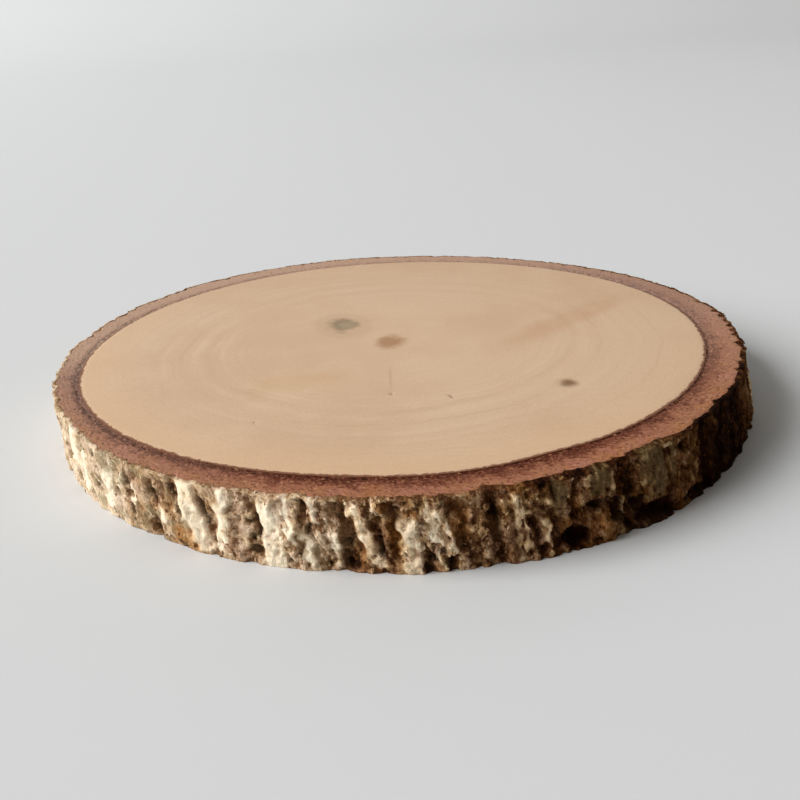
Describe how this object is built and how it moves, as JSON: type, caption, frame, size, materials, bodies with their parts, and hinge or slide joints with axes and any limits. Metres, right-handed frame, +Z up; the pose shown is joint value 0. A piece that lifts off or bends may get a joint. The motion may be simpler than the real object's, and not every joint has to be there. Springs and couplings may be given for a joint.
{
  "type": "wood slice",
  "caption": "Round slice sawn across a branch, flat and sanded on both faces, with rough furrowed bark all round its edge.",
  "frame": {"origin": "middle of the base, on the surface that the slice lies on", "axes": "+Z up through the thickness, square to the sanded faces; +X to the right and +Y away as the picture shows it"},
  "size_m": [0.1144, 0.115, 0.0105],
  "materials": {
    "wood_slice": "sanded bare wood with rough natural bark"
  },
  "bodies": {
    "root": {"wood_slice": "wood_slice"}
  },
  "joints": []
}
